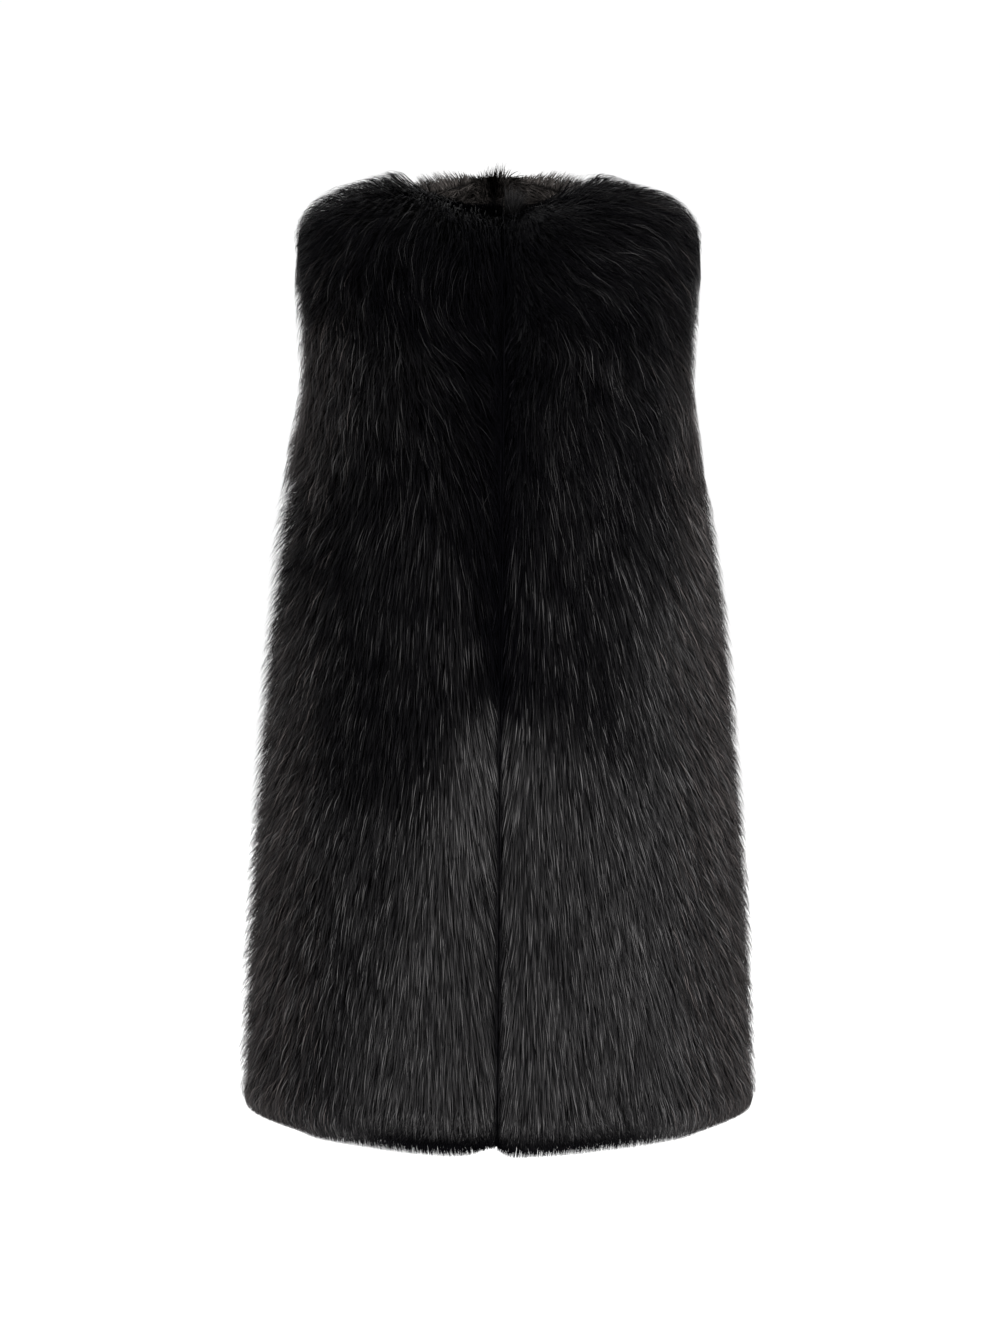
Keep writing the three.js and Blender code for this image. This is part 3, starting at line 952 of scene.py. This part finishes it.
def make_pile(panel, kind, count, settings, material):
    """One layer of a panel's fur."""
    guard = kind == "guard"
    rng = np.random.default_rng(panel.seed + (100 if guard else 0))
    shift = seam_shift(panel)

    def place(u, v):
        return panel_place(panel, u, v)

    def room(point, angle, along):
        from_front = from_front_line(panel, point, along)
        return cloth_rise(angle, along, from_front), wall_depth(angle, along, from_front)

    length = (settings.guard_length if guard else settings.under_length) / MM
    joints = GUARD_JOINTS if guard else UNDER_JOINTS

    locks = count // HAIRS_IN_LOCK
    guides, tree = lock_guides(place, locks, length, guard, joints, room, rng)
    angle, along = pile_places(panel, place, count, rng)
    chest = smooth_step(along, 480, 720)
    ruffled = chest * (1 - 0.8 * to_side(angle, 0.6, 0.95))
    on_shoulder = smooth_step(along, 700, 800) * to_side(angle, 0.5, 0.9)
    low, high = GUARD_LIFT if guard else UNDER_LIFT
    low = low - 0.1 * ruffled + (0 if guard else 0.35) * on_shoulder
    high = high + 0.12 * ruffled - (0.22 if guard else 0.08) * on_shoulder
    skirt = 1 - smooth_step(along, 380, 560)
    lengths = length * rng.uniform(0.75, 1.1, count) * (1 - 0.1 * on_shoulder)
    lengths = lengths * (1 - 0.22 * skirt) if guard else lengths
    ends = hem_ends(angle, along, rng)
    # The long hairs end above the band that turns under.
    stop = turned_under(inner_point(angle, along)) * (9 + rng.uniform(0, 22, count)) if guard else 0
    lengths = np.clip(lengths, 6, np.maximum(1.05 * (along + ends - stop), 6))
    points, outs = combed(
        angle, along, lengths,
        (0.045 + 0.22 * ruffled) * rng.normal(size=count),
        loft(angle, along) * (high - (high - low) * rng.uniform(0, 1, count) ** 1.5),
        joints, body_lean, room,
    )
    points[..., 2] = np.maximum(points[..., 2], (ring_bottom(angle) - ends)[:, None])
    strength = settings.gather * (0.04 + 0.76 * ruffled) * rng.uniform(0.5, 1.1, count)
    points, nearest = gathered(points, tree, guides, strength)
    lock_tone = rng.normal(size=locks)[nearest]
    if guard:
        extra = count // HAIRS_FOR_ONE_STANDING
        chest = np.append(chest, np.ones(extra))
        edge = standing(place, extra, joints, rng)
        points, outs = np.concatenate([points, edge[0]]), np.concatenate([outs, edge[1]])
        angle, along = np.concatenate([angle, edge[2]]), np.concatenate([along, edge[3]])
        lock_tone = np.append(lock_tone, np.zeros(extra))
        count += extra
    if panel.sign:
        margin = rng.uniform(0.6, 1.4, count) if guard else rng.uniform(0.02, 0.5, count)
        points = kept_aside(points, panel.sign, margin)
    points = points + shift
    # The body's tone, with its painted sheen, painted light and painted shade, and that shade alone.
    tone_with_painted_light, shade = body_tone(points[:, -2], points[:, -1], angle)
    if guard:
        tone = guard_tone(tone_with_painted_light, shade, chest, points[:, 0, 0], rng)
        tone[-extra:] = 0.03 + 0.03 * rng.normal(size=extra) + edge[4]
    else:
        tone = tone_with_painted_light * (0.50 + 0.18 * rng.normal(size=count))
    tone = tone + 0.03 * lock_tone * shade
    width = (settings.guard_width if guard else settings.under_width) / MM
    finer = 0.3 * smooth_step(along, 480, 720) if guard else 0.4 * (1 - smooth_step(along, 25, 60))
    width = width * (1 - finer)
    # The bend is larger on the chest, so that its painted glints are short, and the rest of each hair
    # keeps the root's painted shade.
    mesh = blade_mesh(
        f"{panel.name}_{kind}_hair", points, outs, width * rng.uniform(0.7, 1.25, count),
        0.5 * rng.normal(size=count), tone.clip(0.01, 0.99), 1.5 + 0.8 * smooth_step(along, 430, 680),
        rng.uniform(0, 1, count) < 0.7 * to_side(angle, 0.7, 0.95),
    )
    return finished(mesh, [material], panel.name)


def make_panel(panel):
    """A panel's cloth with both layers of its fur."""
    scene = bpy.context.scene
    pile, fabric = scene.gilet_pile, scene.gilet_cloth
    hair = shared_material(
        "black_hair",
        lambda: hair_material("black_hair", pile.black, pile.charcoal, pile.warm, (0.95, 0.90, 1.0)),
    )

    def lift(point, angle, along):
        return cloth_rise(angle, along, from_front_line(panel, point, along))

    mesh = cloth(
        f"{panel.name}_cloth", lambda u, v: panel_place(panel, u, v), panel.columns, CLOTH_ROWS,
        lift, seam_shift(panel),
    )
    piece = finished(mesh, cloth_materials(fabric), panel.name)
    thicken(piece, fabric.thickness)
    layers = [
        make_pile(panel, "under", panel.under, pile, hair),
        make_pile(panel, "guard", panel.guard, pile, hair),
    ]


class GILET_OT_front_left(bpy.types.Operator):
    """Make the wearer's left front with its fur"""

    bl_idname = "gilet.front_left"
    bl_label = "Left front"

    def execute(self, context):
        make_panel(PANELS[0])
        return {"FINISHED"}


class GILET_OT_front_right(bpy.types.Operator):
    """Make the wearer's right front with its fur"""

    bl_idname = "gilet.front_right"
    bl_label = "Right front"

    def execute(self, context):
        make_panel(PANELS[1])
        return {"FINISHED"}


class GILET_OT_back(bpy.types.Operator):
    """Make the back with its fur"""

    bl_idname = "gilet.back"
    bl_label = "Back"

    def execute(self, context):
        make_panel(PANELS[2])
        return {"FINISHED"}


def neck_tuft(points):
    """1 at the dark tuft on the upper half of the strip's middle, falling to 0 beside it."""
    return bump(points[..., 0], -7, 17) * smooth_step(points[..., 2], 4, 15)


def facing_lean(points, angle, along):
    """The strip's hair runs sideways from the centre back, and stands up in its dark tuft."""
    outward = np.where(points[..., 0] > -6, -1.0, 1.0)
    ruffle = 0.18 * waves(points, 26, 12) + 0.12 * waves(points, 10, 13)
    return outward * (1.72 + ruffle + 1.2 * neck_tuft(points))


class GILET_OT_neck_facing(bpy.types.Operator):
    """Make the strip of sideways fur inside the back of the neck"""

    bl_idname = "gilet.neck_facing"
    bl_label = "Back neck strip"

    def execute(self, context):
        pile, fabric = context.scene.gilet_pile, context.scene.gilet_cloth
        rng = np.random.default_rng(FACING_SEED)
        back = PANELS[2]
        mesh = cloth(
            "neck_strip_cloth", facing_place, 40, 6,
            lambda point, angle, along: np.full(len(angle), -SEAM_GAP - fabric.thickness / MM),
            seam_shift(back),
        )
        piece = finished(mesh, cloth_materials(fabric)[::-1], "back_neck_facing")
        thicken(piece, fabric.thickness)
        angle, along = scattered(facing_place, FACING_HAIRS, rng)
        length = FACING_LENGTH * rng.uniform(0.5, 1.15, FACING_HAIRS)
        length = length * (1 - 0.3 * neck_tuft(inner_point(angle, along)))
        points, outs = combed(
            angle, along, length, 0.25 * rng.normal(size=FACING_HAIRS),
            -rng.uniform(0.4, 1.5, FACING_HAIRS), 4, facing_lean,
            lambda point, angle, along: (0, FACING_DEPTH - 2.0),
        )
        edge = standing(facing_place, FACING_EDGE_HAIRS, 4, rng)
        points, outs = np.concatenate([points, edge[0]]), np.concatenate([outs, edge[1]])
        points = points - outs * (SEAM_GAP + fabric.thickness / MM) + seam_shift(back)
        count = len(points)
        tone = 0.62 + 0.15 * rng.normal(size=count) + 0.2 * waves(points[:, 1], 14, 15)
        tone = tone - 0.45 * neck_tuft(points[:, 0])
        hair = shared_material(
            "neck_hair",
            lambda: hair_material("neck_hair", NECK_DARK, NECK_PALE, NECK_PALE, (1, 1, 1)),
        )
        mesh = blade_mesh(
            "neck_strip_hair", points, -outs, FACING_WIDTH * rng.uniform(0.7, 1.2, count),
            0.6 * rng.normal(size=count), tone.clip(0.01, 0.99), np.full(count, 0.6),
        )
        layer = finished(mesh, [hair], "back_neck_facing")
        return {"FINISHED"}


def area_light(name, location, target, size, power):
    """A soft square light that faces a point."""
    data = bpy.data.lights.new(name, "AREA")
    data.shape = "SQUARE"
    data.size = size
    data.energy = power
    lamp = bpy.data.objects.new(name, data)
    lamp.location = location
    way = np.subtract(target, location)
    yaw = math.atan2(way[0], -way[1])
    pitch = math.acos(-way[2] / np.linalg.norm(way))
    lamp.rotation_euler = (pitch, 0, yaw + math.pi)
    bpy.context.scene.collection.objects.link(lamp)


class GILET_OT_studio(bpy.types.Operator):
    """Make the floor, the light and the camera"""

    bl_idname = "gilet.studio"
    bl_label = "Studio"

    def execute(self, context):
        scene = context.scene
        studio = scene.gilet_studio
        floor_height = CAD_BOX[0][2] - studio.floor_drop

        bm = bmesh.new()
        bmesh.ops.create_circle(bm, cap_ends=True, radius=14, segments=96)
        for vertex in bm.verts:
            vertex.co.z = floor_height
        mesh = bpy.data.meshes.new("studio_floor")
        bm.to_mesh(mesh)
        bm.free()
        floor = bpy.data.objects.new("studio_floor", mesh)
        scene.collection.objects.link(floor)
        pale, _, _, shader = new_material("studio_pale")
        set_inputs(shader, {
            "Base Color": (0.86, 0.86, 0.86, 1),
            "Roughness": 0.9,
            "Specular IOR Level": 0.1,
            "Emission Color": (1, 1, 1, 1),
            "Emission Strength": 0.5,
        })
        mesh.materials.append(pale)

        world = bpy.data.worlds.new("studio_light")
        world.use_nodes = True
        sky = world.node_tree.nodes["Background"]
        set_inputs(sky, {"Color": (1, 1, 1, 1), "Strength": studio.surroundings})
        scene.world = world
        scene.view_settings.view_transform = "Standard"

        middle = (0, 0, studio.camera_height)
        area_light("key", KEY_PLACE, middle, KEY_WIDTH, KEY_POWER)

        data = bpy.data.cameras.new("camera")
        data.sensor_width = 36
        data.lens = data.sensor_width * studio.distance / studio.frame_height
        data.clip_end = 60
        camera = bpy.data.objects.new("camera", data)
        camera.location = (0, -studio.distance, studio.camera_height)
        camera.rotation_euler = (RIGHT_ANGLE, 0, 0)
        scene.collection.objects.link(camera)
        scene.camera = camera
        return {"FINISHED"}


OPERATORS = (
    GILET_OT_front_left,
    GILET_OT_front_right,
    GILET_OT_back,
    GILET_OT_neck_facing,
    GILET_OT_studio,
)


class GILET_PT_panel(bpy.types.Panel):
    """The gilet's pieces and settings"""

    bl_idname = "GILET_PT_panel"
    bl_label = "Faux-Fur Gilet"
    bl_space_type = "VIEW_3D"
    bl_region_type = "UI"
    bl_category = "Gilet"

    def draw(self, context):
        for operator in OPERATORS:
            self.layout.operator(operator.bl_idname)
        for settings in (
            context.scene.gilet_pile, context.scene.gilet_cloth, context.scene.gilet_studio
        ):
            for name in settings.bl_rna.properties.keys():
                if name not in ("rna_type", "name"):
                    self.layout.prop(settings, name)


def register():
    """Adds the settings, the operators and the panel."""
    for item in (*SETTINGS, *OPERATORS, GILET_PT_panel):
        bpy.utils.register_class(item)
    bpy.types.Scene.gilet_pile = bpy.props.PointerProperty(type=PileSettings)
    bpy.types.Scene.gilet_cloth = bpy.props.PointerProperty(type=ClothSettings)
    bpy.types.Scene.gilet_studio = bpy.props.PointerProperty(type=StudioSettings)


def unregister():
    """Takes them away again."""
    del bpy.types.Scene.gilet_pile
    del bpy.types.Scene.gilet_cloth
    del bpy.types.Scene.gilet_studio
    for item in reversed((*SETTINGS, *OPERATORS, GILET_PT_panel)):
        bpy.utils.unregister_class(item)


def main():
    """Makes the gilet and the studio."""
    register()
    bpy.ops.gilet.front_left()
    bpy.ops.gilet.front_right()
    bpy.ops.gilet.back()
    bpy.ops.gilet.neck_facing()
    bpy.ops.gilet.studio()


if __name__ == "__main__":
    main()
